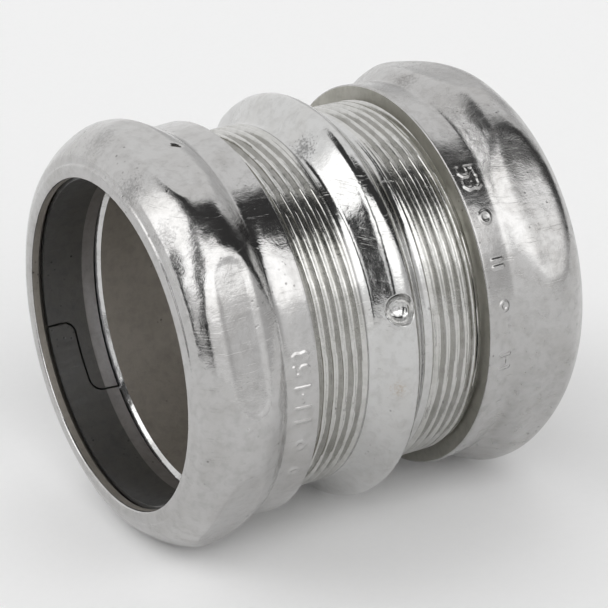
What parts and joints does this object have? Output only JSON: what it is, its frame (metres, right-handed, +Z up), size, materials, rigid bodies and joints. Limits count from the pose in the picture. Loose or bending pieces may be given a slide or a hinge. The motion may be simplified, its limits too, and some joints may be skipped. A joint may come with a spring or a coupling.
{
  "type": "conduit compression coupling",
  "caption": "Straight compression coupling for 2 inch thin-wall conduit: a threaded tube with a raised bead, a hexagonal-flat nut on each end, and a split ring in each nut.",
  "frame": {"origin": "on the conduit's axis, in the middle plane of the body's bead", "axes": "+X along the conduit axis, from the front nut towards the rear nut; +Z up as the fitting lies on its side"},
  "size_m": [0.0759, 0.0736, 0.0726],
  "materials": {
    "body_zinc": "bright zinc plate, rolled threads, matt inside",
    "nut_zinc": "bright zinc plate over drawn steel",
    "ring_steel": "dark satin steel"
  },
  "bodies": {
    "body": {"coupling_body": "body_zinc"},
    "front_ring_body": {"front_ring": "ring_steel"},
    "front_nut_body": {"front_nut": "nut_zinc"},
    "rear_ring_body": {"rear_ring": "ring_steel"},
    "rear_nut_body": {"rear_nut": "nut_zinc"}
  },
  "joints": [
    {"name": "front_ring_slide", "type": "slide", "parent": "body", "child": "front_ring_body", "axis": [1, 0, 0], "range_m": [-0.0096, 0.00095]},
    {"name": "front_nut_turn", "type": "hinge", "parent": "front_ring_body", "child": "front_nut_body", "pos_m": [-0.028, 0, 0], "axis": [1, 0, 0], "range_deg": [-1800, 162.8]},
    {"name": "rear_ring_slide", "type": "slide", "parent": "body", "child": "rear_ring_body", "axis": [-1, 0, 0], "range_m": [-0.0096, 0.00015]},
    {"name": "rear_nut_turn", "type": "hinge", "parent": "rear_ring_body", "child": "rear_nut_body", "pos_m": [0.028, 0, 0], "axis": [-1, 0, 0], "range_deg": [-1800, 9.6]}
  ],
  "couplings": [
    {"joint": "front_ring_slide", "follows": "front_nut_turn", "m_per_rad": 0.00029921},
    {"joint": "rear_ring_slide", "follows": "rear_nut_turn", "m_per_rad": 0.00029921}
  ]
}
